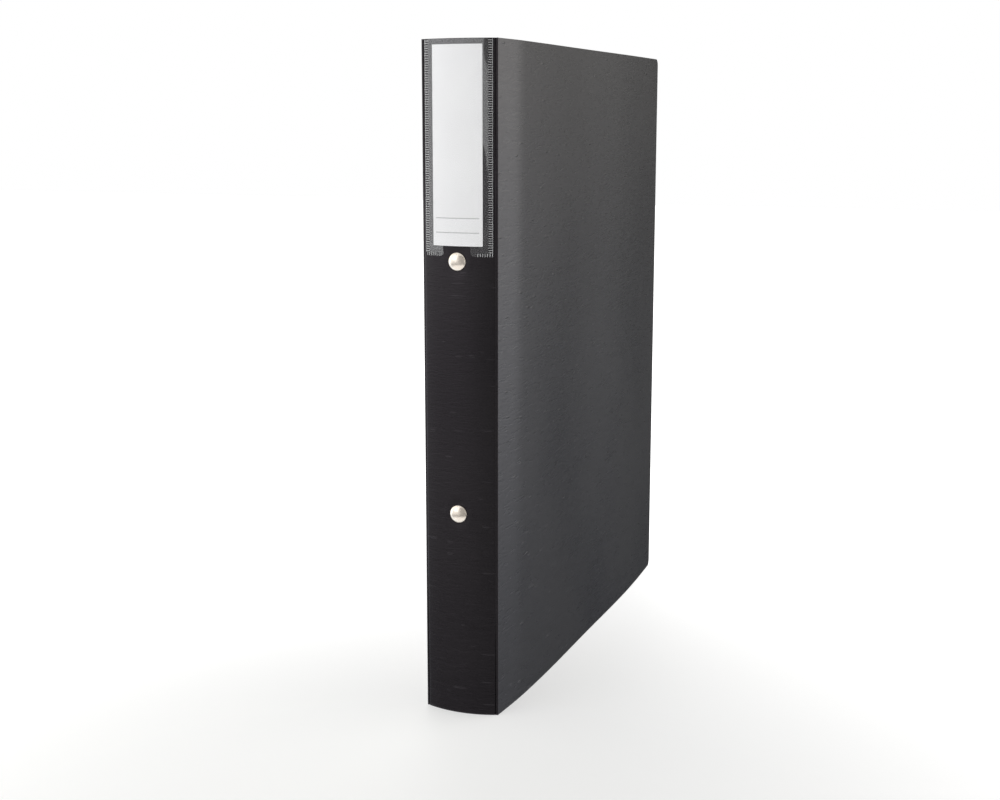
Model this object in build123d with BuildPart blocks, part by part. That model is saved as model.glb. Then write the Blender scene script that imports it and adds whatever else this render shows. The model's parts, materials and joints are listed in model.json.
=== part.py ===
"""A4 ring binder: a creased plastic cover, a label pocket and a riveted two-ring mechanism.

Millimetres. +Z is up the spine, the spine faces -Y, the front cover is on +X. The origin is the
middle of the bounding box at the surface that the binder stands on.
"""

import os
from math import asin, atan2, cos, degrees, radians, sin, sqrt

from build123d import *

# ---- driving dimensions: cover ----
HEIGHT = 315.0
SPINE_WIDTH = 37.0
COVER_DEPTH = 262.0
SHEET = 1.2
BULGE = 3.6
PANEL_HALF = 18.1
WEB = 0.4
MITRE = 0.8
BOW_FOOT = 4.0
BOW_TOP = 1.0
TOE_FOOT = 1.0
TOE_TOP = -0.6
CORNER_RADIUS = 4.0

# ---- driving dimensions: label pocket ----
POCKET_HALF = 16.6
POCKET_FOOT = 218.8
POCKET_TOP = 314.7
WELD_WIDTH = 2.2
FOOT_WELD = 1.5
FOOT_WELD_HALF = 9.5
FILM = 0.2
FILM_GAP = 0.65
RAMP = 0.5
NOTCH_HALF = 6.6
NOTCH_TOP = 223.7
CARD_HALF = 11.85
CARD_FOOT = 223.5
CARD_TOP = 312.4
CARD = 0.3
CARD_CLEAR = 0.18

# ---- driving dimensions: ring mechanism ----
RIVET_SPACING = 118.0
MECHANISM_MIDDLE = 157.5
RING_SPACING = 80.0
HOUSING_LENGTH = 132.0
HOUSING_CROWN = 4.9
HOUSING_CORNER = 5.0
PLATE = 0.5
PIVOT_X = 9.3
LIP_RADIUS = 1.12
LIP_SEAT_GAP = 0.02
LIP_END = 60.0
BLADE = 0.8
BLADE_BEAD = 0.55
BLADE_LENGTH = 126.0
BLADE_GAP = 0.15
BLADE_CLOSED = 7.0
WIRE_RADIUS = 1.25
RING_RADIUS = 12.25
RING_CENTRE_V = 14.0
RING_BELOW = 55.0
FOOT_BEND = 2.6
TIP_CLEAR = 0.15
TENON_RADIUS = 0.8
TENON_CLEAR = 0.06
PEEN_RADIUS = 1.2
PEEN = 0.25
CONE_BASE = 0.8
CONE_TIP = 0.35
CONE_LENGTH = 0.9
SOCKET_CLEAR = 0.14
SLOT_INNER = 3.4
SLOT_OUTER = 9.5
SLOT_HALF = 1.7
SLOT_FOOT_V = 1.4
SLOT_CORNER = 0.8

# ---- driving dimensions: rivets ----
SHANK_RADIUS = 1.75
HOLE_CLEAR = 0.08
HEAD_RADIUS = 4.1
HEAD_HEIGHT = 2.0
HEAD_RIM = 0.35
BORE_RADIUS = 1.15
BORE_DEPTH = 5.5
CLINCH_RADIUS = 2.9
CLINCH = 0.5
NOTCH_RADIUS = 2.35

# ---- places worked out from the driving dimensions ----
FRONT_REACH = BULGE + HEAD_HEIGHT
SPINE_Y = -(COVER_DEPTH - FRONT_REACH) / 2
FORE_EDGE_Y = SPINE_Y + COVER_DEPTH
SPINE_RADIUS = (PANEL_HALF**2 + BULGE**2) / (2 * BULGE)
SPINE_CENTRE = (0, SPINE_Y + SPINE_RADIUS - BULGE)
SPINE_SWEEP = degrees(asin(PANEL_HALF / SPINE_RADIUS))
WEB_SWEEP = 90 - SPINE_SWEEP
WEB_RADIUS = (SPINE_WIDTH / 2 - PANEL_HALF) / (1 - sin(radians(SPINE_SWEEP)))
WEB_CENTRE_X = SPINE_WIDTH / 2 - WEB_RADIUS
COVER_START_Y = SPINE_Y + WEB_RADIUS * cos(radians(SPINE_SWEEP))
RIVET_HEIGHTS = [MECHANISM_MIDDLE + side * RIVET_SPACING / 2 for side in (1, -1)]
RING_HEIGHTS = [MECHANISM_MIDDLE + side * RING_SPACING / 2 for side in (1, -1)]
PIVOT_REACH = SPINE_RADIUS - SHEET - LIP_SEAT_GAP - LIP_RADIUS
PIVOT_Y = SPINE_CENTRE[1] - sqrt(PIVOT_REACH**2 - PIVOT_X**2)
CROWN_Y = SPINE_Y + HOUSING_CROWN
BLADE_WIDTH = PIVOT_X - BLADE_GAP

os.makedirs("parts", exist_ok=True)


def on_spine(radius, angle):
    """A point at this radius from the spine's centre of curvature, angle in degrees from the middle."""
    turn = radians(angle)
    return (radius * sin(turn), SPINE_CENTRE[1] - radius * cos(turn))


def spine_angle(x):
    """The angle, from the middle of the spine, at which its outer face is x to one side."""
    return degrees(asin(x / SPINE_RADIUS))


def spine_band(inner, outer, start, end):
    """A band that follows the spine between two radii and two angles from the middle."""
    CenterArc(SPINE_CENTRE, outer, 270 + start, end - start)
    CenterArc(SPINE_CENTRE, inner, 270 + start, end - start)
    Line(on_spine(inner, start), on_spine(outer, start))
    Line(on_spine(inner, end), on_spine(outer, end))


def finish(piece, name):
    """Name the piece and write it."""
    piece.part.label = name
    export_step(piece.part, f"parts/{name}.step")


# ---- cover sheet ----

inner_radius = SPINE_RADIUS - SHEET
inner_sweep = degrees(asin((PANEL_HALF - MITRE) / inner_radius))

with BuildPart() as spine:
    with BuildSketch():
        with BuildLine():
            CenterArc(SPINE_CENTRE, SPINE_RADIUS, 270 - SPINE_SWEEP, 2 * SPINE_SWEEP)
            CenterArc(SPINE_CENTRE, inner_radius, 270 - inner_sweep, 2 * inner_sweep)
            for side in (1, -1):
                Polyline(
                    on_spine(SPINE_RADIUS, side * SPINE_SWEEP),
                    on_spine(SPINE_RADIUS - WEB, side * SPINE_SWEEP),
                    on_spine(inner_radius, side * inner_sweep),
                )
        make_face()
    extrude(amount=HEIGHT)
    with BuildSketch(Plane.XZ):
        with Locations(*[(0, height) for height in RIVET_HEIGHTS]):
            Circle(SHANK_RADIUS + HOLE_CLEAR)
    extrude(amount=COVER_DEPTH, both=True, mode=Mode.SUBTRACT)
finish(spine, "spine")


def cover_outline(bow, toe, side):
    """One level's section of a cover: a shallow arc of sheet, mitred beside the hinge web."""
    hinge_x = side * SPINE_WIDTH / 2
    middle_x = hinge_x + side * bow
    fore_x = hinge_x + side * toe
    sheet_x = side * SHEET
    middle_y = (COVER_START_Y + FORE_EDGE_Y) / 2
    mitre_y = COVER_START_Y + MITRE
    ThreePointArc((hinge_x, COVER_START_Y), (middle_x, middle_y), (fore_x, FORE_EDGE_Y))
    inner_start = (hinge_x - sheet_x, mitre_y)
    inner_end = (fore_x - sheet_x, FORE_EDGE_Y)
    ThreePointArc(inner_start, (middle_x - sheet_x, middle_y), inner_end)
    Line((fore_x, FORE_EDGE_Y), inner_end)
    Polyline((hinge_x, COVER_START_Y), (hinge_x - side * WEB, COVER_START_Y), inner_start)


for name, side in (("front_cover", 1), ("back_cover", -1)):
    with BuildPart() as cover:
        for level, bow, toe in ((0, BOW_FOOT, TOE_FOOT), (HEIGHT, BOW_TOP, TOE_TOP)):
            with BuildSketch(Plane.XY.offset(level)):
                with BuildLine():
                    cover_outline(bow, toe, side)
                make_face()
        loft(ruled=True)
        fore_corners = cover.edges().filter_by(Axis.X).group_by(Axis.Y)[-1]
        fillet(fore_corners, radius=CORNER_RADIUS)
    finish(cover, name)

for name, side, start in (("front_hinge", 1, -WEB_SWEEP), ("back_hinge", -1, 180)):
    centre = (side * WEB_CENTRE_X, COVER_START_Y)
    with BuildPart() as hinge:
        with BuildSketch():
            with BuildLine():
                outer = CenterArc(centre, WEB_RADIUS, start, WEB_SWEEP)
                inner = CenterArc(centre, WEB_RADIUS - WEB, start, WEB_SWEEP)
                Line(outer @ 0, inner @ 0)
                Line(outer @ 1, inner @ 1)
            make_face()
        extrude(amount=HEIGHT)
    finish(hinge, name)

# ---- label pocket and card ----

weld_outer = spine_angle(POCKET_HALF)
weld_inner = spine_angle(POCKET_HALF - WELD_WIDTH)
raised_edge = spine_angle(POCKET_HALF - WELD_WIDTH - RAMP)
raised = SPINE_RADIUS + FILM_GAP


def film_face(rise):
    """One face of the film: flat on the spine at both welds and raised between them."""
    weld_sweep = weld_outer - weld_inner
    CenterArc(SPINE_CENTRE, SPINE_RADIUS + rise, 270 - weld_outer, weld_sweep)
    CenterArc(SPINE_CENTRE, SPINE_RADIUS + rise, 270 + weld_inner, weld_sweep)
    CenterArc(SPINE_CENTRE, raised + rise, 270 - raised_edge, 2 * raised_edge)
    for side in (1, -1):
        weld_end = on_spine(SPINE_RADIUS + rise, side * weld_inner)
        Line(weld_end, on_spine(raised + rise, side * raised_edge))


with BuildPart() as label_pocket:
    with BuildSketch(Plane.XY.offset(POCKET_FOOT)):
        with BuildLine():
            film_face(0)
            film_face(FILM)
            for side in (1, -1):
                film_edge = on_spine(SPINE_RADIUS, side * weld_outer)
                Line(film_edge, on_spine(SPINE_RADIUS + FILM, side * weld_outer))
        make_face()
    extrude(amount=POCKET_TOP - POCKET_FOOT)
    foot_weld_start = spine_angle(FOOT_WELD_HALF)
    for start, end in ((foot_weld_start, weld_inner), (-weld_inner, -foot_weld_start)):
        with BuildSketch(Plane.XY.offset(POCKET_FOOT)):
            with BuildLine():
                spine_band(SPINE_RADIUS, raised + FILM, start, end)
            make_face()
        extrude(amount=FOOT_WELD)
    with BuildSketch(Plane.XZ):
        with Locations((0, POCKET_FOOT)):
            Rectangle(2 * NOTCH_HALF, 2 * (NOTCH_TOP - POCKET_FOOT))
    extrude(amount=COVER_DEPTH, both=True, mode=Mode.SUBTRACT)
finish(label_pocket, "label_pocket")

card_angle = spine_angle(CARD_HALF)
card_radius = SPINE_RADIUS + CARD_CLEAR

with BuildPart() as label_card:
    with BuildSketch(Plane.XY.offset(CARD_FOOT)):
        with BuildLine():
            spine_band(card_radius, card_radius + CARD, -card_angle, card_angle)
        make_face()
    extrude(amount=CARD_TOP - CARD_FOOT)
finish(label_card, "label_card")

# ---- ring mechanism: housing ----

crown_rise = CROWN_Y - PIVOT_Y
ARCH_RADIUS = (PIVOT_X**2 + crown_rise**2 - LIP_RADIUS**2) / (2 * (crown_rise - LIP_RADIUS))
ARCH_CENTRE = (0, CROWN_Y - ARCH_RADIUS)
ARCH_SWEEP = degrees(asin(PIVOT_X / (ARCH_RADIUS - LIP_RADIUS)))


def housing_face(inset):
    """One face of the housing plate: the arch, and a lip rolled round each pivot line."""
    CenterArc(ARCH_CENTRE, ARCH_RADIUS - inset, 90 - ARCH_SWEEP, 2 * ARCH_SWEEP)
    lip_sweep = 270 - LIP_END - ARCH_SWEEP
    for side in (1, -1):
        lip_start = 90 - side * ARCH_SWEEP
        CenterArc((side * PIVOT_X, PIVOT_Y), LIP_RADIUS - inset, lip_start, -side * lip_sweep)


def lip_end(side, radius):
    """The point on a rolled lip's free end at this radius from its pivot line."""
    turn = radians(LIP_END)
    return (side * (PIVOT_X - radius * cos(turn)), PIVOT_Y - radius * sin(turn))


with BuildPart() as ring_housing:
    with BuildSketch(Plane.XY.offset(MECHANISM_MIDDLE - HOUSING_LENGTH / 2)):
        with BuildLine():
            housing_face(0)
            housing_face(PLATE)
            for side in (1, -1):
                Line(lip_end(side, LIP_RADIUS), lip_end(side, LIP_RADIUS - PLATE))
        make_face()
    extrude(amount=HOUSING_LENGTH)
    with BuildSketch(Plane.XZ):
        with Locations((0, MECHANISM_MIDDLE)):
            RectangleRounded(2 * (PIVOT_X + LIP_RADIUS), HOUSING_LENGTH, HOUSING_CORNER)
    extrude(amount=COVER_DEPTH, both=True, mode=Mode.INTERSECT)
    with BuildSketch(Plane.XZ):
        with Locations(*[(0, height) for height in RIVET_HEIGHTS]):
            Circle(SHANK_RADIUS + HOLE_CLEAR)
    extrude(amount=COVER_DEPTH, both=True, mode=Mode.SUBTRACT)
    slot_middle = (SLOT_INNER + SLOT_OUTER) / 2
    slot_places = [(side * slot_middle, height) for side in (1, -1) for height in RING_HEIGHTS]
    with BuildSketch(Plane.XZ.offset(-(SPINE_Y + SLOT_FOOT_V))):
        with Locations(*slot_places):
            RectangleRounded(SLOT_OUTER - SLOT_INNER, 2 * SLOT_HALF, SLOT_CORNER)
    extrude(amount=-COVER_DEPTH, mode=Mode.SUBTRACT)
finish(ring_housing, "ring_housing")

# ---- ring mechanism: blades, which carry the ring halves ----

BLADE_COS = cos(radians(BLADE_CLOSED))
BLADE_SIN = sin(radians(BLADE_CLOSED))
bend_reach = RING_RADIUS + FOOT_BEND
foot_x = PIVOT_X - bend_reach * cos(radians(RING_BELOW))
foot_rise = SPINE_Y + RING_CENTRE_V - PIVOT_Y - bend_reach * sin(radians(RING_BELOW))
RING_FOOT = foot_x * BLADE_COS - foot_rise * BLADE_SIN + FOOT_BEND

blade_end = Plane(
    origin=(-PIVOT_X, PIVOT_Y, MECHANISM_MIDDLE - BLADE_LENGTH / 2),
    x_dir=(BLADE_COS, -BLADE_SIN, 0),
    z_dir=(0, 0, 1),
)
blade_top = Plane(
    origin=(-PIVOT_X, PIVOT_Y, MECHANISM_MIDDLE),
    x_dir=(BLADE_COS, -BLADE_SIN, 0),
    z_dir=(-BLADE_SIN, -BLADE_COS, 0),
)

with BuildPart() as left_blade:
    with BuildSketch(blade_end):
        Circle(BLADE_BEAD)
        Rectangle(BLADE_WIDTH, BLADE, align=(Align.MIN, Align.CENTER))
    extrude(amount=BLADE_LENGTH)
    with BuildSketch(blade_top):
        with Locations((RING_FOOT, RING_SPACING / 2), (RING_FOOT, -RING_SPACING / 2)):
            Circle(TENON_RADIUS + TENON_CLEAR)
        with Locations((PIVOT_X, RIVET_SPACING / 2), (PIVOT_X, -RIVET_SPACING / 2)):
            Circle(NOTCH_RADIUS)
    extrude(amount=BLADE, both=True, mode=Mode.SUBTRACT)
finish(left_blade, "left_blade")

with BuildPart() as right_blade:
    mirror(left_blade.part, about=Plane.YZ)
finish(right_blade, "right_blade")

# ---- ring mechanism: ring halves ----

tip_angle = degrees(TIP_CLEAR / 2 / RING_RADIUS)
cone_taper = degrees(atan2(CONE_BASE - CONE_TIP, CONE_LENGTH))


def ring_half(side, height):
    """Half a ring, from its tip over the top, round the side and down to its tenon in the blade."""
    blade_normal = Vector(-side * BLADE_SIN, BLADE_COS, 0)
    pivot = Vector(side * PIVOT_X, PIVOT_Y, height)
    centre = (0, SPINE_Y + RING_CENTRE_V)
    with BuildPart() as half:
        with BuildLine(Plane.XY.offset(height)) as wire:
            hoop_sweep = 90 + RING_BELOW - tip_angle
            hoop = CenterArc(centre, RING_RADIUS, 90 - side * tip_angle, -side * hoop_sweep)
            bend = JernArc(hoop @ 1, hoop % 1, FOOT_BEND, side * (RING_BELOW + BLADE_CLOSED))
            drop = (bend @ 1 - pivot).dot(blade_normal) - BLADE / 2
            foot = Line(bend @ 1, bend @ 1 - blade_normal * drop)
        tip = Plane(origin=hoop @ 0, z_dir=hoop % 0)
        with BuildSketch(tip):
            Circle(WIRE_RADIUS)
        sweep(path=wire.line)
        with BuildSketch(Plane(origin=foot @ 1, z_dir=-blade_normal)):
            Circle(TENON_RADIUS)
        extrude(amount=BLADE + PEEN)
        with BuildSketch(Plane(origin=foot @ 1 - blade_normal * BLADE, z_dir=-blade_normal)):
            Circle(PEEN_RADIUS)
        extrude(amount=PEEN)
        if side < 0:
            with BuildSketch(tip):
                Circle(CONE_BASE)
            extrude(amount=-CONE_LENGTH, taper=cone_taper)
        else:
            with BuildSketch(tip):
                Circle(CONE_BASE + SOCKET_CLEAR)
            extrude(amount=CONE_LENGTH + SOCKET_CLEAR, taper=cone_taper, mode=Mode.SUBTRACT)
    return half


for side_name, side in (("left", -1), ("right", 1)):
    for level_name, height in zip(("upper", "lower"), RING_HEIGHTS):
        finish(ring_half(side, height), f"{level_name}_{side_name}_ring")

# ---- rivets ----

dome_rise = HEAD_HEIGHT - HEAD_RIM
DOME_RADIUS = (HEAD_RADIUS**2 + dome_rise**2) / (2 * dome_rise)
DOME_SWEEP = degrees(asin(HEAD_RADIUS / DOME_RADIUS))


def rivet(height):
    """A semi-tubular rivet: domed head outside the spine, clinched over the housing's crown."""
    head_seat = SPINE_Y - BULGE
    bore_floor = CROWN_Y + CLINCH - BORE_DEPTH
    with BuildPart() as turned:
        with BuildSketch(Plane.XY.offset(height)):
            with BuildLine():
                dome_centre = (0, head_seat - HEAD_HEIGHT + DOME_RADIUS)
                dome = CenterArc(dome_centre, DOME_RADIUS, 270, DOME_SWEEP)
                Polyline(
                    (HEAD_RADIUS, head_seat - HEAD_RIM),
                    (HEAD_RADIUS, head_seat),
                    (SHANK_RADIUS, head_seat),
                    (SHANK_RADIUS, CROWN_Y),
                    (CLINCH_RADIUS, CROWN_Y),
                    (CLINCH_RADIUS, CROWN_Y + CLINCH / 2),
                    (BORE_RADIUS + CLINCH, CROWN_Y + CLINCH),
                    (BORE_RADIUS, CROWN_Y + CLINCH),
                    (BORE_RADIUS, bore_floor),
                    (0, bore_floor),
                    (0, head_seat - HEAD_HEIGHT),
                )
            make_face()
        revolve(axis=Axis((0, 0, height), (0, 1, 0)))
    return turned


for name, height in zip(("upper_rivet", "lower_rivet"), RIVET_HEIGHTS):
    finish(rivet(height), name)
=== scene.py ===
"""Looks of an A4 ring binder: embossed plastic cover, clear label pocket and nickel ring mechanism.

Metres, in the row frame: +Z is up the spine, the spine faces -Y and the front cover is on +X.
"""

import json
import math

import bpy
import numpy as np
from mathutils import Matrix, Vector


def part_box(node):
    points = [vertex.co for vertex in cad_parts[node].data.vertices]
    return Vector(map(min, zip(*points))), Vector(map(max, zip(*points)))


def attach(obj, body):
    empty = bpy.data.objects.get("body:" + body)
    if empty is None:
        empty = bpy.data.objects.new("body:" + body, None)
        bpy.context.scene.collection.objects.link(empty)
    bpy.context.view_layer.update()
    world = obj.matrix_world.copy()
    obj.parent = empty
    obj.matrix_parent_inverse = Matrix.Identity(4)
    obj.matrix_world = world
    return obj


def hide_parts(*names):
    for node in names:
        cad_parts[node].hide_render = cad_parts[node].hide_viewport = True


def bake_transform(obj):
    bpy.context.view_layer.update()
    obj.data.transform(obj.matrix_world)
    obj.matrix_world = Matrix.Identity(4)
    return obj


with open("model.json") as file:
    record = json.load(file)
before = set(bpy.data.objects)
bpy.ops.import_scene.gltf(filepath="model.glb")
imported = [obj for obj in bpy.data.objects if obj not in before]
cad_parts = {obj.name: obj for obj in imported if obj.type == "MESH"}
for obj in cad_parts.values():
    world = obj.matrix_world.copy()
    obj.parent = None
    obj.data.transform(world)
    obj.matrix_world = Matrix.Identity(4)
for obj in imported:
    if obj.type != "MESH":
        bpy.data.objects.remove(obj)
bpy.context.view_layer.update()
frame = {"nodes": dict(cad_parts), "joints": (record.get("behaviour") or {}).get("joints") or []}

MM = 0.001

# ---- places read from the frame ----
joints = {joint["name"]: joint for joint in frame["joints"]}
HINGE_X, HINGE_Y = joints["front_cover_hinge"]["pos_m"][:2]
PANEL_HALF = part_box("spine")[1].x
CROWN_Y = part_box("spine")[0].y
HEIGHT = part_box("spine")[1].z
COVER_START_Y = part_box("front_cover")[0].y
FORE_EDGE_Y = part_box("front_cover")[1].y
POCKET_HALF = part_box("label_pocket")[1].x - 0.3 * MM
POCKET_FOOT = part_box("label_pocket")[0].z
POCKET_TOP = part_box("label_pocket")[1].z
CARD_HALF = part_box("label_card")[1].x
CARD_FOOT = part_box("label_card")[0].z
CARD_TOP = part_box("label_card")[1].z

# ---- the curve of the spine and the fold beside it ----
BULGE = HINGE_Y - CROWN_Y
SPINE_RADIUS = (PANEL_HALF**2 + BULGE**2) / (2 * BULGE)
SPINE_CENTRE_Y = CROWN_Y + SPINE_RADIUS
SPINE_SWEEP = math.asin(PANEL_HALF / SPINE_RADIUS)
WEB_RADIUS = (HINGE_X - PANEL_HALF) / (1 - math.sin(SPINE_SWEEP))
WEB = 0.4 * MM
SHEET = 1.2 * MM
MITRE = 0.8 * MM
GROOVE_INSET = 0.8 * MM
GROOVE_WIDTH = 0.26 * MM
GROOVE_SHALLOW = 0.08 * MM
GROOVE_DEEP = 0.52 * MM
RIM = 0.3 * MM
RIM_TURNS = (0, 0.35, 0.75, 1.15, math.pi / 2)

# ---- covers ----
COVER_REACH = FORE_EDGE_Y - COVER_START_Y
BOW_FOOT = 2.5 * MM
BOW_TOP = 0.0 * MM
TOE_FOOT = -0.4 * MM
TOE_TOP = -2.0 * MM
FLARE_FOOT = 0.6 * MM
FLARE_TOP = 1.8 * MM
FLARE_STRAIGHT = 14.0 * MM
FLARE_BEND = 15.0 * MM
WAVE = 0.3 * MM
CORNER_RADIUS = 4.0 * MM

# ---- label pocket and card ----
WELD_WIDTH = 1.9 * MM
WELD_INNER = POCKET_HALF - WELD_WIDTH
FOOT_WELD = 1.5 * MM
FOOT_WELD_HALF = 9.5 * MM
FILM = 0.2 * MM
FILM_GAP = 0.65 * MM
RAMP = 0.5 * MM
RIB = 0.18 * MM
RIB_PITCH = 1.06 * MM
NOTCH_HALF = 6.6 * MM
NOTCH_TOP = CARD_FOOT + 0.2 * MM
TAB_CORNER = 1.8 * MM
NOTCH_CORNER = 1.0 * MM
CARD = 0.3 * MM
CARD_CLEAR = 0.18 * MM
LINE_HALF = 0.16 * MM
LINE_REACH = 10.5 * MM
LOWER_LINE = CARD_FOOT + 6.0 * MM
UPPER_LINE = CARD_FOOT + 12.5 * MM

# ---- rivets ----
HEAD_RADIUS = 4.1 * MM
HEAD_RIM = 0.35 * MM
SHANK_RADIUS = 1.75 * MM
HOLE_RADIUS = 1.83 * MM
SEAT_DEPTH = 0.25 * MM
SEAT_RADIUS = 4.3 * MM
SEAT_REACH = 8.5 * MM
SEAT_Y = CROWN_Y + SEAT_DEPTH
BORE_RADIUS = 1.15 * MM
BORE_DEPTH = 5.5 * MM
CLINCH = 0.5 * MM
CLINCH_REACH = 2.9 * MM
HEAD_TOP_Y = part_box("upper_rivet")[0].y
CLINCH_END_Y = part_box("upper_rivet")[1].y
HOUSING_TOP_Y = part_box("ring_housing")[1].y
RIVET_PATCH = 7.0 * MM
PATCH_CELLS = 16
RIVETS = ("upper_rivet", "lower_rivet")
RIVET_HEIGHTS = [(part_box(name)[0].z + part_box(name)[1].z) / 2 for name in RIVETS]


# ---- mesh helpers ----


def smoothstep(low, high, value):
    """0 below low, 1 above high and a smooth rise between them. Low may be the larger."""
    share = min(1.0, max(0.0, (value - low) / (high - low)))
    return share * share * (3 - 2 * share)


def rim_dip(distance):
    """How far a face has dropped, at this distance from a rounded rim."""
    if distance >= RIM:
        return 0.0
    return RIM - math.sqrt(RIM**2 - (RIM - distance) ** 2)


def rim_steps(radius):
    """Distances from a rim at which a quarter round of this radius is drawn."""
    return [radius * (1 - math.cos(turn)) for turn in RIM_TURNS]


def merged(values, nearest=0.02 * MM):
    """The values in order, without those that nearly repeat the one before."""
    kept = []
    for value in sorted(values):
        if not kept or value - kept[-1] > nearest:
            kept.append(value)
    return kept


def new_piece(name, vertices, faces, material, sharp_degrees=40):
    """A smooth-shaded mesh object in the row frame, sharp where its faces turn by more than this."""
    mesh = bpy.data.meshes.new(name)
    mesh.from_pydata([tuple(v) for v in vertices], [], faces)
    mesh.validate()
    mesh.shade_smooth()
    mesh.set_sharp_from_angle(angle=math.radians(sharp_degrees))
    mesh.materials.append(material)
    piece = bpy.data.objects.new(name, mesh)
    bpy.context.scene.collection.objects.link(piece)
    return piece


def flat_grid(us, vs, is_open=lambda u, v: False):
    """Grid points (u, v) row by row, and the quads between them, except where a cell's middle is open."""
    points = [(u, v) for v in vs for u in us]
    width = len(us)
    quads = []
    for j in range(len(vs) - 1):
        for i in range(width - 1):
            if not is_open((us[i] + us[i + 1]) / 2, (vs[j] + vs[j + 1]) / 2):
                corner = j * width + i
                quads.append((corner, corner + 1, corner + 1 + width, corner + width))
    return points, quads


def fill_round_hole(points, quads, us, vs, centre, half, radius, rings):
    """Rings of quads from the square left open round a centre, in to a circle of this radius."""
    width = len(us)
    left, right = (int(np.argmin(np.abs(np.array(us) - centre[0] - s * half))) for s in (-1, 1))
    foot, top = (int(np.argmin(np.abs(np.array(vs) - centre[1] - s * half))) for s in (-1, 1))
    border = [foot * width + i for i in range(left, right)]
    border += [j * width + right for j in range(foot, top)]
    border += [top * width + i for i in range(right, left, -1)]
    border += [j * width + left for j in range(top, foot, -1)]
    before = border
    for ring in range(1, rings + 1):
        share = ring / rings
        ring_points = []
        for index in border:
            away = Vector(points[index]) - Vector(centre)
            place = Vector(centre) + away * (1 - share) + away.normalized() * radius * share
            ring_points.append(len(points))
            points.append(tuple(place))
        for k in range(len(border)):
            after = (k + 1) % len(border)
            quads.append((before[k], before[after], ring_points[after], ring_points[k]))
        before = ring_points


def sheet_piece(name, outer, middle, inner, quads, material, turned=False):
    """A closed sheet from its outer and inner faces, with walls through the middle points all round."""
    count = len(outer)
    used = sorted({index for quad in quads for index in quad})
    edges = {(quad[k], quad[(k + 1) % 4]) for quad in quads for k in range(4)}
    rim = [(a, b) for quad in quads for a, b in zip(quad, quad[1:] + quad[:1]) if (b, a) not in edges]
    faces = list(quads)
    faces += [tuple(index + count for index in reversed(quad)) for quad in quads]
    for a, b in rim:
        faces.append((b, a, a + 2 * count, b + 2 * count))
        faces.append((b + 2 * count, a + 2 * count, a + count, b + count))
    rim_points = {index for edge in rim for index in edge}
    kept = used + [index + count for index in used] + [index + 2 * count for index in sorted(rim_points)]
    place = {index: number for number, index in enumerate(kept)}
    everything = list(outer) + list(inner) + list(middle)
    faces = [tuple(place[index] for index in face) for face in faces]
    if turned:
        faces = [tuple(reversed(face)) for face in faces]
    return new_piece(name, [everything[index] for index in kept], faces, material)


def turned_piece(name, profile, centre, material, segments=72, sharp_degrees=40):
    """A solid of revolution about a line along Y: profile is (radius, y) from axis to axis."""
    vertices = []
    faces = []
    rings = []
    for radius, y in profile:
        if radius < 1e-9:
            rings.append([len(vertices)] * segments)
            vertices.append((centre[0], y, centre[1]))
            continue
        rings.append([len(vertices) + k for k in range(segments)])
        for k in range(segments):
            turn = 2 * math.pi * k / segments
            vertices.append((centre[0] + radius * math.cos(turn), y, centre[1] + radius * math.sin(turn)))
    for first, second in zip(rings, rings[1:]):
        for k in range(segments):
            after = (k + 1) % segments
            corners = [first[k], second[k], second[after], first[after]]
            faces.append(tuple(dict.fromkeys(corners)))
    return new_piece(name, vertices, faces, material, sharp_degrees)


# ---- material helpers ----


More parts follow.
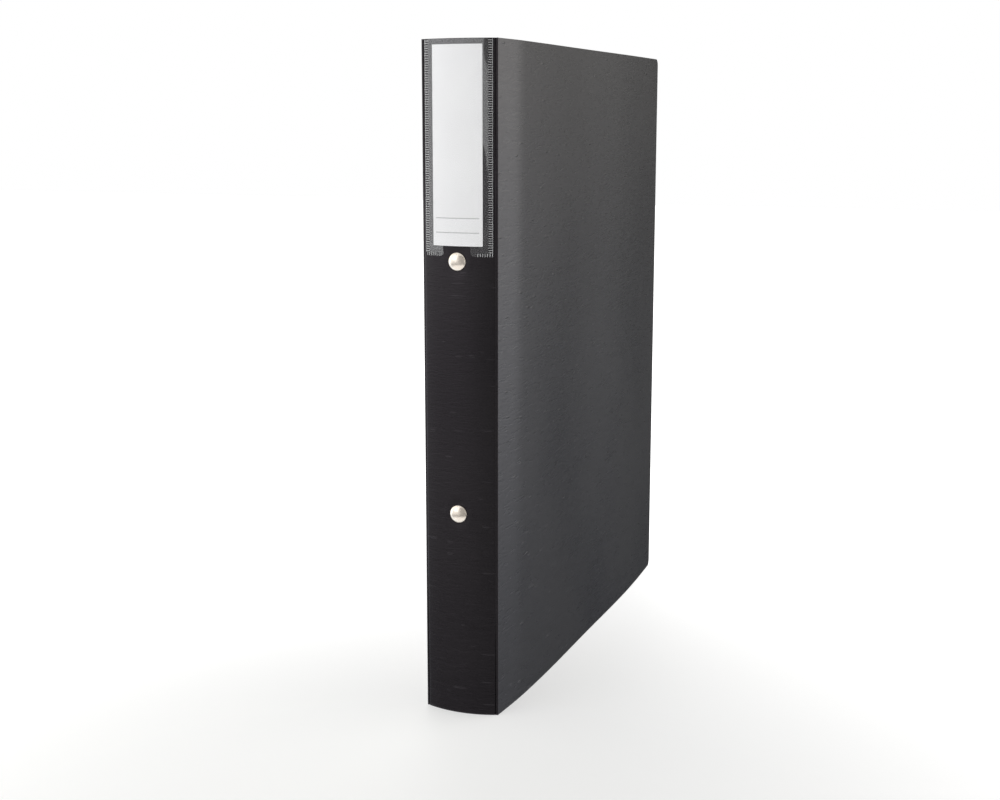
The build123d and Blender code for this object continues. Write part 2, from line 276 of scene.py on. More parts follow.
class Nodes:
    """A material's node tree, with short ways to add the nodes used here."""

    def __init__(self, name):
        self.material = bpy.data.materials.new(name)
        self.material.use_nodes = True
        self.tree = self.material.node_tree
        self.shader = self.tree.nodes["Principled BSDF"]

    def add(self, kind, inputs, **settings):
        node = self.tree.nodes.new(kind)
        for key, value in settings.items():
            setattr(node, key, value)
        for key, value in inputs.items():
            self.give(node.inputs[key], value)
        return node

    def give(self, socket, value):
        """Links a socket to another node's output, or sets its constant."""
        if isinstance(value, bpy.types.NodeSocket):
            self.tree.links.new(value, socket)
        else:
            socket.default_value = value

    def shade(self, **inputs):
        """Sets the shader's sockets, named with underscores for spaces."""
        for key, value in inputs.items():
            self.give(self.shader.inputs[key.replace("_", " ")], value)

    def place(self, scale=(1, 1, 1), turn=(0, 0, 0)):
        """The point on the object in metres, scaled, so that a scale of 1000 counts millimetres."""
        coordinates = self.add("ShaderNodeTexCoord", {}).outputs["Object"]
        mapping = {"Vector": coordinates, "Scale": scale, "Rotation": turn}
        return self.add("ShaderNodeMapping", mapping).outputs["Vector"]

    def axis(self, letter):
        """One coordinate of the point on the object, in metres."""
        return self.add("ShaderNodeSeparateXYZ", {"Vector": self.place()}).outputs[letter]

    def noise(self, scale, turn=(0, 0, 0), detail=3.0, roughness=0.5, distortion=0.0):
        """Noise whose features are 1/scale metres along each axis."""
        inputs = {"Vector": self.place(scale, turn), "Scale": 1.0, "Detail": detail}
        inputs.update({"Roughness": roughness, "Distortion": distortion})
        return self.add("ShaderNodeTexNoise", inputs).outputs["Fac"]

    def calc(self, operation, first, second=0.0, third=0.0):
        """One step of arithmetic on up to three values."""
        inputs = {0: first, 1: second, 2: third}
        return self.add("ShaderNodeMath", inputs, operation=operation).outputs[0]

    def rise(self, value, low, high, to_low=0.0, to_high=1.0):
        """Maps low to high onto a smooth rise, held at both ends."""
        inputs = {"Value": value, "From Min": low, "From Max": high, "To Min": to_low, "To Max": to_high}
        return self.add("ShaderNodeMapRange", inputs, interpolation_type="SMOOTHSTEP").outputs["Result"]

    def spread(self, value, to_low, to_high):
        """Maps 0 to 1 straight onto another range."""
        inputs = {"Value": value, "To Min": to_low, "To Max": to_high}
        return self.add("ShaderNodeMapRange", inputs).outputs["Result"]

    def mix(self, factor, first, second):
        """Mixes two numbers."""
        inputs = {0: factor, 2: first, 3: second}
        return self.add("ShaderNodeMix", inputs, data_type="FLOAT").outputs[0]

    def blend(self, factor, first, second):
        """Mixes two colours."""
        inputs = {0: factor, 6: first, 7: second}
        return self.add("ShaderNodeMix", inputs, data_type="RGBA").outputs[2]

    def bump(self, height, distance, strength=1.0):
        inputs = {"Height": height, "Distance": distance, "Strength": strength}
        return self.add("ShaderNodeBump", inputs).outputs["Normal"]


def dashes(nodes, scale, turn, chosen):
    """Sparse pressed dashes: one in a share of the cells of a stretched Voronoi pattern."""
    inputs = {"Vector": nodes.place(scale, turn), "Scale": 1.0, "Randomness": 1.0}
    cells = nodes.add("ShaderNodeTexVoronoi", inputs)
    pick = nodes.add("ShaderNodeSeparateColor", {"Color": cells.outputs["Color"]}).outputs["Red"]
    picked = nodes.calc("LESS_THAN", pick, chosen)
    mark = nodes.rise(cells.outputs["Distance"], 0.34, 0.16)
    return nodes.calc("MULTIPLY", picked, mark)


def sheet_material(name, painted_highlight_lift):
    """Charcoal polypropylene, embossed with fine level brush marks and scattered dashes. The second
    argument multiplies its base colour: above 1 it gives a lighter copy of the sheet, a painted highlight.
    """
    nodes = Nodes(name)
    grain = nodes.noise((170, 170, 3200), detail=4.0, roughness=0.65)
    sweep = nodes.noise((80, 80, 460), detail=3.0, roughness=0.55, distortion=2.2)
    level = dashes(nodes, (72, 72, 680), (0, 0, 0), 0.06)
    slanted = dashes(nodes, (150, 150, 560), (0.45, 0.35, 0), 0.05)
    marks = nodes.calc("MAXIMUM", level, slanted)
    patches = nodes.noise((9, 9, 7), detail=2.0)
    dusk = (0.0097 * painted_highlight_lift, 0.0085 * painted_highlight_lift, 0.0098 * painted_highlight_lift, 1)
    pale = (0.0155 * painted_highlight_lift, 0.0142 * painted_highlight_lift, 0.0150 * painted_highlight_lift, 1)
    tint = nodes.blend(nodes.rise(patches, 0.35, 0.65), dusk, pale)
    fine = nodes.calc("MULTIPLY_ADD", grain, 0.5, 0.75)
    worn = nodes.add("ShaderNodeMix", {0: 1.0, 6: tint, 7: fine}, data_type="RGBA", blend_type="MULTIPLY")
    # the pressed dashes are also painted lighter in the base colour: painted highlights on their relief
    base_with_painted_dash_highlights = nodes.blend(nodes.calc("MULTIPLY", marks, 0.06), worn.outputs[2], (0.06, 0.06, 0.06, 1))
    nodes.shade(Base_Color=base_with_painted_dash_highlights, Specular_IOR_Level=0.32, Specular_Tint=(1.0, 0.89, 1.02, 1))
    shine = nodes.calc("ADD", nodes.spread(grain, -0.05, 0.05), nodes.spread(sweep, 0.23, 0.35))
    nodes.shade(Roughness=nodes.calc("ADD", shine, nodes.spread(patches, -0.03, 0.03)))
    height = nodes.calc("ADD", nodes.spread(grain, 0, 0.10), nodes.spread(sweep, 0, 0.40))
    height = nodes.calc("ADD", height, nodes.spread(marks, 0, 0.30))
    nodes.shade(Normal=nodes.bump(height, 0.25 * MM, 1.0))
    return nodes.material


def film_material():
    """Clear film drawn as a faint pale haze, partly its own milky haze and partly painted reflection:
    lighter and darker swirls over the bare sheet, lighter toward the left, with painted highlights on the
    ribs of its welds and along its outer edge.
    """
    nodes = Nodes("clear_film")
    across = nodes.calc("ABSOLUTE", nodes.axis("X"))
    height = nodes.axis("Z")
    turn = nodes.calc("SINE", nodes.calc("MULTIPLY", height, 2 * math.pi / RIB_PITCH))
    side_weld = nodes.rise(across, WELD_INNER - 0.1 * MM, WELD_INNER + 0.2 * MM)
    # painted highlight on the crest of each rib of the side welds, stronger toward the left
    painted_rib_highlight = nodes.rise(nodes.axis("X"), 0.0, -CARD_HALF, 0.25, 0.42)
    ribs = nodes.calc("MULTIPLY", nodes.rise(turn, 0.15, 0.75), painted_rib_highlight)
    # painted highlight along the film's outer edge
    edge = nodes.rise(across, POCKET_HALF - 0.35 * MM, POCKET_HALF - 0.15 * MM, 0.0, 0.20)
    ribs = nodes.calc("MAXIMUM", ribs, edge)
    cross = nodes.calc("SINE", nodes.calc("MULTIPLY", nodes.axis("X"), 2 * math.pi / RIB_PITCH))
    low = nodes.rise(height, POCKET_FOOT + FOOT_WELD + 0.1 * MM, POCKET_FOOT + FOOT_WELD - 0.2 * MM)
    wide = nodes.rise(across, FOOT_WELD_HALF - 0.2 * MM, FOOT_WELD_HALF + 0.1 * MM)
    foot_weld = nodes.calc("MULTIPLY", low, wide)
    # painted highlights on the ribs of the foot weld
    painted_foot_rib_highlights = nodes.rise(cross, 0.1, 0.7, 0.0, 0.30)
    # the pale haze over the bare sheet is partly the film's own milky haze and partly painted reflection:
    # random lighter and darker swirls, lighter toward the left
    painted_reflection_swirls = nodes.noise((170, 170, 38), detail=0.0, distortion=0.6)
    painted_sheen_to_left = nodes.rise(nodes.axis("X"), 0.5 * CARD_HALF, -0.5 * CARD_HALF, 0.0, 0.3)
    haze = nodes.rise(nodes.calc("ADD", painted_reflection_swirls, painted_sheen_to_left), 0.49, 0.57, 0.03, 0.12)
    off_card = nodes.rise(across, CARD_HALF - 0.2 * MM, CARD_HALF + 0.2 * MM)
    above_card = nodes.rise(height, CARD_TOP - 0.2 * MM, CARD_TOP + 0.2 * MM)
    below_card = nodes.rise(height, CARD_FOOT + 0.2 * MM, CARD_FOOT - 0.2 * MM)
    bare = nodes.calc("MAXIMUM", off_card, nodes.calc("MAXIMUM", above_card, below_card))
    haze = nodes.mix(bare, 0.05, haze)
    alpha = nodes.mix(foot_weld, nodes.mix(side_weld, haze, ribs), painted_foot_rib_highlights)
    smear = nodes.noise((90, 90, 40), detail=2.0)
    nodes.shade(Base_Color=nodes.blend(smear, (0.70, 0.71, 0.72, 1), (0.86, 0.87, 0.88, 1)))
    nodes.shade(Alpha=alpha, IOR=1.46, Roughness=nodes.spread(smear, 0.10, 0.22))
    nodes.shade(Normal=nodes.bump(smear, 0.05 * MM, 0.4))
    return nodes.material


def paper_material():
    """White card with a faint fibre and two ruled grey lines near its foot."""
    nodes = Nodes("paper_card")
    fibre = nodes.noise((900, 900, 900), detail=5.0, roughness=0.7)
    cloud = nodes.noise((60, 60, 40), detail=2.0)
    white = nodes.blend(cloud, (0.86, 0.86, 0.875, 1), (0.91, 0.91, 0.92, 1))
    white = nodes.blend(nodes.spread(fibre, 0, 0.12), white, (0.60, 0.60, 0.60, 1))
    height = nodes.axis("Z")
    inside = nodes.rise(nodes.calc("ABSOLUTE", nodes.axis("X")), LINE_REACH + 0.1 * MM, LINE_REACH)
    colour = white
    for line in (LOWER_LINE, UPPER_LINE):
        gap = nodes.calc("ABSOLUTE", nodes.calc("SUBTRACT", height, line))
        stroke = nodes.calc("MULTIPLY", nodes.rise(gap, LINE_HALF + 0.06 * MM, LINE_HALF), inside)
        colour = nodes.blend(nodes.calc("MULTIPLY", stroke, 0.75), colour, (0.30, 0.30, 0.31, 1))
    nodes.shade(Base_Color=colour, Specular_IOR_Level=0.35, Roughness=nodes.spread(fibre, 0.60, 0.80))
    nodes.shade(Normal=nodes.bump(fibre, 0.02 * MM, 0.5))
    return nodes.material


def metal_material(name, light, dark, gloss, dull, scratch_scale, bump_strength, metallic=1.0):
    """Plated or plain metal: warm or cool by its two colours, with drawn scratches and dull patches."""
    nodes = Nodes(name)
    scratches = nodes.noise(scratch_scale, detail=4.0, roughness=0.7)
    patches = nodes.noise((320, 320, 320), detail=2.0)
    nodes.shade(Metallic=metallic, Base_Color=nodes.blend(nodes.rise(patches, 0.3, 0.7), dark, light))
    haze = nodes.calc("MULTIPLY", nodes.rise(scratches, 0.35, 0.75), dull - gloss)
    nodes.shade(Roughness=nodes.calc("ADD", haze, gloss))
    nodes.shade(Normal=nodes.bump(scratches, 0.01 * MM, bump_strength))
    return nodes.material


cover_sheet = sheet_material("cover_sheet", 1.0)
# the folds use a copy of the sheet half as bright again: a painted highlight along each fold
fold_sheet_painted_highlight = sheet_material("fold_sheet_painted_highlight", 1.5)
clear_film = film_material()
paper_card = paper_material()
rivet_nickel = metal_material(
    "rivet_nickel", (0.99, 0.90, 0.80, 1), (0.95, 0.85, 0.74, 1), 0.18, 0.26, (700, 700, 700), 0.2, 0.58
)
nickel_plate = metal_material(
    "nickel_plate", (0.74, 0.73, 0.70, 1), (0.66, 0.65, 0.62, 1), 0.13, 0.30, (2500, 2500, 160), 0.4
)
blade_steel = metal_material(
    "blade_steel", (0.50, 0.51, 0.53, 1), (0.42, 0.43, 0.45, 1), 0.28, 0.45, (2500, 2500, 120), 0.6
)

# ---- cover sheet: spine ----


def on_spine(radius, angle):
    """(x, y) at this radius from the spine's centre of curvature, angle from its middle in radians."""
    return radius * math.sin(angle), SPINE_CENTRE_Y - radius * math.cos(angle)


def groove(x, z):
    """The pressed line beside each fold, deepest near the foot and the top of the spine."""
    ends = max(smoothstep(85 * MM, 10 * MM, z), smoothstep(225 * MM, 290 * MM, z))
    gap = PANEL_HALF - abs(x) - GROOVE_INSET
    deep = GROOVE_SHALLOW + (GROOVE_DEEP - GROOVE_SHALLOW) * ends
    return deep * math.exp(-((gap / GROOVE_WIDTH) ** 2))


def spine_point(x, z, depth):
    """A point of the spine sheet, this far under its outer face; x is taken along the outer face."""
    y = SPINE_CENTRE_Y - math.sqrt(SPINE_RADIUS**2 - x**2)
    for rivet_z in RIVET_HEIGHTS:
        away = math.hypot(x, z - rivet_z)
        seated = smoothstep(SEAT_REACH, SEAT_RADIUS, away)
        y += seated * (CROWN_Y + SEAT_DEPTH - y)
    angle = math.asin(x / SPINE_RADIUS)
    return x - depth * math.sin(angle), y + depth * math.cos(angle), z


def spine_faces(points):
    """Outer, middle and inner points of the spine sheet, narrower inside because of its mitres."""
    outer = []
    middle = []
    inner = []
    for x, z in points:
        dip = rim_dip(min(z, HEIGHT - z))
        outer.append(spine_point(x, z, dip + groove(x, z)))
        middle.append(spine_point(x, z, WEB))
        pulled = x - math.copysign(MITRE, x) * smoothstep(PANEL_HALF - 4 * MM, PANEL_HALF, abs(x))
        inner.append(spine_point(pulled, z, SHEET - dip))
    return outer, middle, inner


groove_gaps = (0, 0.1, 0.22, 0.34, 0.46, 0.56, 0.66, 0.74, 0.8, 0.86, 0.94, 1.04, 1.14, 1.26, 1.4)
edge_gaps = groove_gaps + (1.8, 2.4, 3.2, 4.4)
edge_columns = [PANEL_HALF - gap * MM for gap in edge_gaps]
middle_columns = list(np.linspace(-RIVET_PATCH, RIVET_PATCH, PATCH_CELLS + 1))
between = list(np.linspace(RIVET_PATCH, edge_columns[-1], 9))
spine_columns = merged(
    middle_columns + between + edge_columns + [-x for x in between] + [-x for x in edge_columns]
)
rows = rim_steps(RIM) + [HEIGHT - step for step in rim_steps(RIM)]
for rivet_z in RIVET_HEIGHTS:
    rows += list(np.linspace(rivet_z - RIVET_PATCH, rivet_z + RIVET_PATCH, PATCH_CELLS + 1))
for low, high in (
    (RIM, RIVET_HEIGHTS[1] - RIVET_PATCH),
    (RIVET_HEIGHTS[1] + RIVET_PATCH, RIVET_HEIGHTS[0] - RIVET_PATCH),
    (RIVET_HEIGHTS[0] + RIVET_PATCH, HEIGHT - RIM),
):
    rows += list(np.linspace(low, high, 70))
spine_rows = merged(rows)


def under_rivet(x, z):
    """Whether a place on the spine is in the square kept for the rings round a rivet hole."""
    return abs(x) < RIVET_PATCH and any(abs(z - rivet_z) < RIVET_PATCH for rivet_z in RIVET_HEIGHTS)


points, quads = flat_grid(spine_columns, spine_rows, under_rivet)
for rivet_z in RIVET_HEIGHTS:
    fill_round_hole(
        points, quads, spine_columns, spine_rows, (0, rivet_z), RIVET_PATCH, HOLE_RADIUS, 9
    )
spine_sheet = sheet_piece("spine_sheet", *spine_faces(points), quads, cover_sheet)
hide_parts("spine")
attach(spine_sheet, "spine_unit")

# ---- cover sheet: front and back covers ----


def flare(reach):
    """The strip beside the fold, which leans out straight and then bends to the rest of the cover."""
    turn = min(1.0, max(0.0, (reach - FLARE_STRAIGHT) / FLARE_BEND))
    bent = FLARE_BEND * (turn - turn**3 + turn**4 / 2)
    return (min(reach, FLARE_STRAIGHT) + bent) / (FLARE_STRAIGHT + FLARE_BEND / 2)


def cover_offset(reach, z):
    """How far a cover's outer face stands out from its hinge line, this far from the fold."""
    up = z / HEIGHT
    share = reach / COVER_REACH
    bow = BOW_FOOT + (BOW_TOP - BOW_FOOT) * up
    toe = TOE_FOOT + (TOE_TOP - TOE_FOOT) * up
    lean = (FLARE_FOOT + (FLARE_TOP - FLARE_FOOT) * up) * flare(reach)
    roll = math.sin(2 * math.pi * (share * 1.4 + 0.10 + 0.05 * math.sin(5 * up)))
    waves = WAVE * roll * math.sin(math.pi * min(1.0, max(0.0, share))) ** 0.7
    return bow * (1 - abs(2 * share - 1) ** 3) + toe * share**3 + lean + waves


def fore_edge(z):
    """How far a cover reaches at this height, with its fore-edge corners rounded."""
    gap = min(z, HEIGHT - z)
    if gap >= CORNER_RADIUS:
        return COVER_REACH
    return COVER_REACH - CORNER_RADIUS + math.sqrt(CORNER_RADIUS**2 - (CORNER_RADIUS - gap) ** 2)


def cover_faces(points, side):
    """Outer, middle and inner points of a cover; side is 1 for the front cover, -1 for the back."""
    outer = []
    middle = []
    inner = []
    for share, z in points:
        reach = fore_edge(z) * share
        dip = rim_dip(min(z, HEIGHT - z, fore_edge(z) - reach))
        pulled = max(reach, 0) + MITRE * smoothstep(4 * MM, 0, reach)
        x = side * (HINGE_X + cover_offset(reach, z))
        inner_x = side * (HINGE_X + cover_offset(pulled, z))
        y = COVER_START_Y + reach
        outer.append((x - side * dip, y, z))
        middle.append((x - side * WEB, y, z))
        inner.append((inner_x - side * (SHEET - dip), COVER_START_Y + pulled, z))
    return outer, middle, inner


near_fold = [gap * MM / COVER_REACH for gap in (0, 0.3, 0.7, 1.2, 1.8, 2.5, 3.4, 4.6, 6.2, 8.4)]
near_edge = [1 - step / COVER_REACH for step in rim_steps(RIM)]
cover_columns = merged(near_fold + list(np.linspace(0.042, 0.995, 90)) + near_edge, 1e-5)
corner_steps = [CORNER_RADIUS * (1 - math.cos(turn)) for turn in np.linspace(0, math.pi / 2, 13)]
foot_rows = rim_steps(RIM) + corner_steps
cover_rows = merged(
    foot_rows
    + [HEIGHT - step for step in foot_rows]
    + list(np.linspace(CORNER_RADIUS, HEIGHT - CORNER_RADIUS, 130))
)
for name, side in (("front_cover", 1), ("back_cover", -1)):
    points, quads = flat_grid(cover_columns, cover_rows)
    faces = cover_faces(points, side)
    cover = sheet_piece(f"{name}_sheet", *faces, quads, cover_sheet, turned=side < 0)
    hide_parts(name)
    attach(cover, name)

# ---- cover sheet: the folds between the spine and the covers ----

WEB_CENTRE = (HINGE_X - WEB_RADIUS, COVER_START_Y)
WEB_TURNS = np.linspace(-(math.pi / 2 - SPINE_SWEEP), 0, 9)

for name, cover, side in (("front_fold", "front_cover", 1), ("back_fold", "back_cover", -1)):
    points, quads = flat_grid(list(WEB_TURNS), list(np.linspace(0, HEIGHT, 80)))
    rings = []
    for radius in (WEB_RADIUS, WEB_RADIUS - WEB / 2, WEB_RADIUS - WEB):
        ring = []
        for turn, z in points:
            x = WEB_CENTRE[0] + radius * math.cos(turn)
            ring.append((side * x, WEB_CENTRE[1] + radius * math.sin(turn), z))
        rings.append(ring)
    # the fold takes the lighter copy of the sheet: a painted highlight
    fold = sheet_piece(name, *rings, quads, fold_sheet_painted_highlight, turned=side < 0)
    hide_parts(cover.replace("cover", "hinge"))
    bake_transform(fold)

# ---- label pocket ----


def film_rise(x, z):
    """How far the film's inner face stands off the spine: pressed down at its welds."""
    away = abs(x)
    over = smoothstep(WELD_INNER, WELD_INNER - RAMP, away)
    above = smoothstep(POCKET_FOOT + FOOT_WELD, POCKET_FOOT + FOOT_WELD + 1.2 * MM, z)
    beside = smoothstep(FOOT_WELD_HALF, FOOT_WELD_HALF - 1.2 * MM, away)
    wave = 0.5 + 0.5 * math.sin(z / (9 * MM) + 3.1 * math.sin(z / (23 * MM)) + 0.4 * x / MM)
    return over * max(above, 0.7 * beside) * (FILM_GAP + 0.12 * MM * wave * above)


def film_thickness(x, z):
    """The film, with ribs pressed across its welds."""
    away = abs(x)
    side_weld = smoothstep(WELD_INNER - 0.1 * MM, WELD_INNER + 0.2 * MM, away)
    side_weld *= smoothstep(POCKET_HALF, POCKET_HALF - 0.3 * MM, away)
    low = smoothstep(POCKET_FOOT + FOOT_WELD + 0.1 * MM, POCKET_FOOT + FOOT_WELD - 0.2 * MM, z)
    foot_weld = low * smoothstep(FOOT_WELD_HALF - 0.2 * MM, FOOT_WELD_HALF + 0.1 * MM, away)
    foot_weld *= 1 - side_weld
    ribs = side_weld * (0.5 + 0.5 * math.sin(2 * math.pi * z / RIB_PITCH))
    ribs += foot_weld * (0.5 + 0.5 * math.sin(2 * math.pi * x / RIB_PITCH))
    return FILM * (1 - 0.4 * max(side_weld, foot_weld)) + RIB * ribs


def notch_edge(z):
    """Half the width of the film's notch at this height, rounded at its mouth and at its top."""
    mouth = z - POCKET_FOOT
    if mouth < TAB_CORNER:
        return NOTCH_HALF + TAB_CORNER - math.sqrt(TAB_CORNER**2 - (TAB_CORNER - mouth) ** 2)
    below = NOTCH_TOP - z
    if 0 <= below < NOTCH_CORNER:
        return NOTCH_HALF - NOTCH_CORNER + math.sqrt(NOTCH_CORNER**2 - (NOTCH_CORNER - below) ** 2)
    if below < 0:
        return NOTCH_HALF - NOTCH_CORNER * smoothstep(-5 * MM, 0, below)
    return NOTCH_HALF


weld_columns = [POCKET_HALF - gap * MM for gap in (0, 0.12, 0.3, 0.7, 1.1, 1.5, 1.9, 2.1)]
ramp_columns = list(np.linspace(WELD_INNER, WELD_INNER - RAMP, 4))
card_columns = list(np.linspace(NOTCH_HALF, WELD_INNER - RAMP, 16))
half_columns = merged(weld_columns + ramp_columns + card_columns)
film_columns = merged(
    half_columns + [-x for x in half_columns] + list(np.linspace(-NOTCH_HALF, NOTCH_HALF, 15))
)
film_rows = list(np.arange(POCKET_FOOT, POCKET_TOP, RIB_PITCH / 5)) + [POCKET_TOP]
film_rows += [POCKET_FOOT + step * TAB_CORNER / RIM for step in rim_steps(RIM)]
film_rows += [NOTCH_TOP - step * NOTCH_CORNER / RIM for step in rim_steps(RIM)]
film_rows = merged(film_rows, 0.03 * MM)
film_rows[-1] = POCKET_TOP
notch_row = int(np.argmin(np.abs(np.array(film_rows) - NOTCH_TOP)))
film_rows[notch_row] = NOTCH_TOP


def film_place(x, z):
    """A grid column's real place across the film, moved so that the notch has rounded corners."""
    edge = notch_edge(z)
    away = abs(x)
    if away <= NOTCH_HALF:
        moved = away * edge / NOTCH_HALF
    elif away < WELD_INNER - RAMP:
        share = (away - NOTCH_HALF) / (WELD_INNER - RAMP - NOTCH_HALF)
        moved = edge + share * (WELD_INNER - RAMP - edge)
    else:
        moved = away
    return math.copysign(moved, x)


def in_notch(x, z):
    """Whether a place is in the notch at the foot of the film."""
    return abs(x) < NOTCH_HALF and z < NOTCH_TOP


points, quads = flat_grid(film_columns, film_rows, in_notch)
outer = []
middle = []
inner = []
for column, z in points:
    x = film_place(column, z)
    angle = math.asin(x / SPINE_RADIUS)
    rise = film_rise(x, z)
    thick = film_thickness(x, z)
    for row, share in ((outer, 1.0), (middle, 0.5), (inner, 0.0)):
        row.append((*on_spine(SPINE_RADIUS + rise + share * thick, angle), z))
pocket = sheet_piece("pocket_film", outer, middle, inner, quads, clear_film)
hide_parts("label_pocket")
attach(pocket, "spine_unit")

# ---- label card ----

card_columns = list(np.linspace(-CARD_HALF, CARD_HALF, 25))
card_rows = list(np.linspace(CARD_FOOT, CARD_TOP, 49))
points, quads = flat_grid(card_columns, card_rows)
layers = []
for share in (1.0, 0.5, 0.0):
    layer = []
    for x, z in points:
        angle = math.asin(x / SPINE_RADIUS)
        layer.append((*on_spine(SPINE_RADIUS + CARD_CLEAR + share * CARD, angle), z))
    layers.append(layer)
card = sheet_piece("title_card", *layers, quads, paper_card)
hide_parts("label_card")
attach(card, "label_card")

# ---- rivets ----


def rivet_profile():
    """(radius, y) from the middle of the domed head round to the floor of the bore."""
    drop = CROWN_Y - HEAD_RIM - HEAD_TOP_Y
    dome_radius = (HEAD_RADIUS**2 + drop**2) / (2 * drop)
    dome_end = math.asin((HEAD_RADIUS - 0.1 * MM) / dome_radius)
    profile = []
    for step in range(17):
        turn = dome_end * step / 16
        dome = dome_radius * (1 - math.cos(turn))
        profile.append((dome_radius * math.sin(turn), HEAD_TOP_Y + dome))
    profile.append((HEAD_RADIUS - 0.02 * MM, CROWN_Y - HEAD_RIM + 0.04 * MM))
    profile.append((HEAD_RADIUS, CROWN_Y - HEAD_RIM + 0.14 * MM))
    profile.append((HEAD_RADIUS, SEAT_Y - 0.1 * MM))
    profile.append((HEAD_RADIUS - 0.1 * MM, SEAT_Y))
    profile.append((SHANK_RADIUS, SEAT_Y))
    profile.append((SHANK_RADIUS, HOUSING_TOP_Y))
    profile.append((CLINCH_REACH - 0.15 * MM, HOUSING_TOP_Y))
    for step in range(9):
        turn = math.pi * step / 8
        middle = (CLINCH_REACH + BORE_RADIUS) / 2
        half = (CLINCH_REACH - BORE_RADIUS) / 2
        profile.append((middle + half * math.cos(turn), HOUSING_TOP_Y + CLINCH * math.sin(turn) ** 0.8))
    profile.append((BORE_RADIUS, CLINCH_END_Y - BORE_DEPTH + 0.2 * MM))
    profile.append((0, CLINCH_END_Y - BORE_DEPTH))
    return profile


for name, rivet_z in zip(RIVETS, RIVET_HEIGHTS):
    rivet = turned_piece(f"{name}_turned", rivet_profile(), (0, rivet_z), rivet_nickel)
    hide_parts(name)
    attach(rivet, "spine_unit")

# ---- ring mechanism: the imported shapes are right, so they keep them and get a finish ----

RING_NAMES = [f"{level}_{side}_ring" for level in ("upper", "lower") for side in ("left", "right")]
for name in ["ring_housing", *RING_NAMES]:
    frame["nodes"][name].data.materials[0] = nickel_plate
for name in ("left_blade", "right_blade"):
    frame["nodes"][name].data.materials[0] = blade_steel

# ---- floor, light and camera ----

FLOOR_HALF = 4.0
FLOOR_MIDDLE = (0.05, -0.30, 0.0)
FLOOR_CLEAR = (0.05, 0.62)
FLOOR_GLOW = 0.36
SURROUND = 0.08
RIGHT_PANEL = (math.cos(math.radians(25)), math.sin(math.radians(25)), 0.1)
LEFT_FRONT_PANEL = (-0.87, -0.50, 0.05)
DARK_CORNER = (-math.sin(math.radians(5)), math.cos(math.radians(5)), -0.30)
BACK_PANEL = (-math.cos(math.radians(30)), math.sin(math.radians(30)), 0.1)
WHITE = (1, 1, 1, 1)
LOW_TINT = (0.935, 1.02, 1.09, 1)
HIGH_TINT = (1.02, 1.02, 0.95, 1)
MIDDLE = (0, 0, HEIGHT / 2)
YAW = math.radians(-21.48)
PITCH = math.radians(10.79)
EYE = (0.2626, -0.7461, 0.2800)


def floor_piece():
    """A wide pale floor with a soft glow of its own, which grows until it meets the white surround."""
    nodes = Nodes("floor_card")
    cloud = nodes.noise((3, 3, 3), detail=2.0)
    nodes.shade(Base_Color=nodes.blend(cloud, (0.50, 0.50, 0.505, 1), (0.52, 0.52, 0.525, 1)))
    nodes.shade(Roughness=0.55, Specular_IOR_Level=0.2)
    from_middle = {0: nodes.place(), 1: FLOOR_MIDDLE}
    away = nodes.add("ShaderNodeVectorMath", from_middle, operation="DISTANCE").outputs["Value"]
    nodes.shade(Emission_Color=WHITE)
    nodes.shade(Emission_Strength=nodes.rise(away, *FLOOR_CLEAR, FLOOR_GLOW, 1.0))
    corners = [(-FLOOR_HALF, -FLOOR_HALF), (FLOOR_HALF, -FLOOR_HALF)]
    corners += [(FLOOR_HALF, FLOOR_HALF), (-FLOOR_HALF, FLOOR_HALF)]
    vertices = [(x, y, 0) for x, y in corners]
    floor = new_piece("studio_floor", vertices, [(0, 1, 2, 3)], nodes.material)
    floor.visible_glossy = False


def softbox(name, place, side, radiance):
    """A square area light of this size and brightness that faces the middle of the binder."""
    light = bpy.data.lights.new(name, "AREA")
    light.shape = "SQUARE"
    light.size = side
    light.energy = radiance * math.pi * side * side
    lamp = bpy.data.objects.new(name, light)
    lamp.location = place
    lamp.rotation_mode = "QUATERNION"
    lamp.rotation_quaternion = (Vector(MIDDLE) - Vector(place)).to_track_quat("-Z", "Y")
    bpy.context.scene.collection.objects.link(lamp)


class WorldNodes(Nodes):
    """The same short ways to add nodes, in the world's node tree."""

    def __init__(self, name):
        self.world = bpy.data.worlds.new(name)
        self.world.use_nodes = True
        self.tree = self.world.node_tree
        self.shader = self.tree.nodes["Background"]


def panel_of_sky(nodes, direction, toward, low, high, strength):
    """A soft bright part of the surround round one direction."""
    inputs = {0: direction, 1: Vector(toward).normalized()}
    facing = nodes.add("ShaderNodeVectorMath", inputs, operation="DOT_PRODUCT").outputs["Value"]
    return nodes.rise(facing, low, high, 0.0, strength)


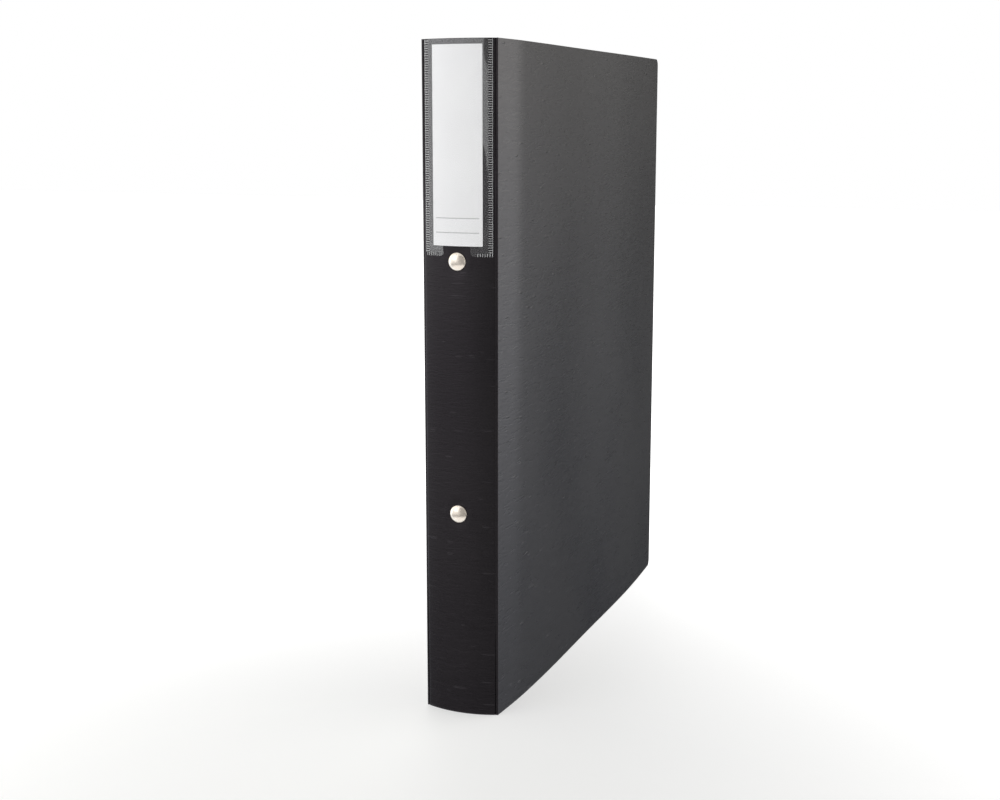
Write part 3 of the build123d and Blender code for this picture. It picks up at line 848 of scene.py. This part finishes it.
def studio_world():
    """A surround seen as white, whose soft panels light the object from the right, left front and back."""
    nodes = WorldNodes("studio")
    direction = nodes.add("ShaderNodeTexCoord", {}).outputs["Generated"]
    parts = nodes.add("ShaderNodeSeparateXYZ", {"Vector": direction}).outputs
    height = parts["Z"]
    toward_back = parts["Y"]
    right = panel_of_sky(nodes, direction, RIGHT_PANEL, 0.60, 0.95, 2.8)
    front = panel_of_sky(nodes, direction, LEFT_FRONT_PANEL, 0.05, 0.9, 0.80)
    right = nodes.calc("MULTIPLY", right, nodes.rise(height, -0.44, -0.04, 0.22, 1.0))
    front = nodes.calc("MULTIPLY", front, nodes.rise(height, -0.42, -0.02, 0.06, 1.0))
    dark = panel_of_sky(nodes, direction, DARK_CORNER, 0.76, 0.97, -0.97)
    right = nodes.calc("MULTIPLY", right, nodes.calc("ADD", dark, 1.0))
    right = nodes.calc("MULTIPLY", right, nodes.rise(toward_back, -0.15, 0.25, 0.2, 1.0))
    back = panel_of_sky(nodes, direction, BACK_PANEL, 0.50, 0.95, 1.3)
    below = nodes.calc("ADD", nodes.rise(height, -0.40, -0.70, 0.0, 0.9), SURROUND)
    sides = nodes.calc("ADD", right, front)
    lit = nodes.calc("ADD", sides, nodes.calc("ADD", back, below))
    seen = nodes.add("ShaderNodeLightPath", {}).outputs["Is Camera Ray"]
    tint = nodes.blend(nodes.rise(height, -0.35, 0.15), LOW_TINT, HIGH_TINT)
    tint = nodes.blend(nodes.rise(toward_back, 0.0, -0.5), tint, WHITE)
    nodes.shade(Strength=nodes.mix(seen, lit, 1.0), Color=nodes.blend(seen, tint, WHITE))
    bpy.context.scene.world = nodes.world


floor_piece()
studio_world()
softbox("overhead_box", (0.3, 0.1, 1.9), 2.6, 0.75)
softbox("left_front_box", (-1.0, -1.5, 1.2), 1.7, 0.8)
softbox("back_box", (-0.6, 1.7, 1.3), 1.4, 0.9)

camera_data = bpy.data.cameras.new("camera")
camera_data.sensor_width = 36.0
camera_data.lens = 53.12
camera = bpy.data.objects.new("camera", camera_data)
camera.location = EYE
forward = Vector((math.sin(YAW) * math.cos(PITCH), math.cos(YAW) * math.cos(PITCH), -math.sin(PITCH)))
camera.rotation_mode = "QUATERNION"
camera.rotation_quaternion = forward.to_track_quat("-Z", "Y")
bpy.context.scene.collection.objects.link(camera)
bpy.context.scene.camera = camera
bpy.context.scene.view_settings.view_transform = "Standard"
